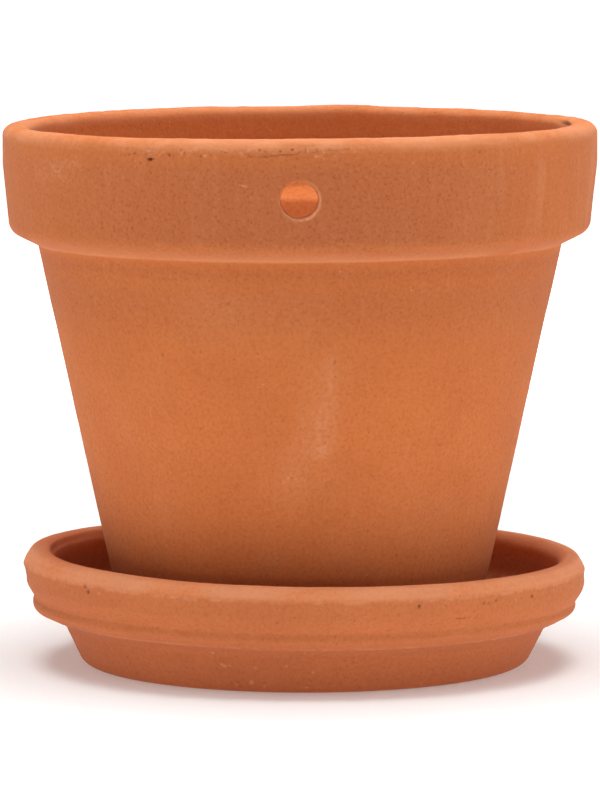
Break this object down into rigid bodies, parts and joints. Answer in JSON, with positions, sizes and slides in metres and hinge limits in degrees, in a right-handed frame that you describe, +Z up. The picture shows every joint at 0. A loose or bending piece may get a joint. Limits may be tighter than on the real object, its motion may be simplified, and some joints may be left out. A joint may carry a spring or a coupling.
{
  "type": "terracotta plant pot with saucer",
  "caption": "Rimmed clay plant pot with a tie hole through its collar and a drain hole in its base, standing loose in a matching saucer.",
  "frame": {"origin": "on the axis of the pot and saucer, on the surface that the saucer stands on", "axes": "+Z up along the axis of both pieces; -Y to the front, where the tie hole is; +X to the right as seen from the front"},
  "size_m": [0.2, 0.2, 0.1835],
  "materials": {
    "saucer_clay": "unglazed fired clay, matt, with turning lines and small pits",
    "pot_clay": "unglazed fired clay, matt, finely grained, with a few pits and a pale smear"
  },
  "bodies": {
    "saucer": {"saucer": "saucer_clay"},
    "pot": {"pot": "pot_clay"}
  },
  "joints": [
    {"name": "pot_lift", "type": "slide", "parent": "saucer", "child": "pot", "axis": [0, 0, 1], "range_m": [0, 0.04]}
  ]
}
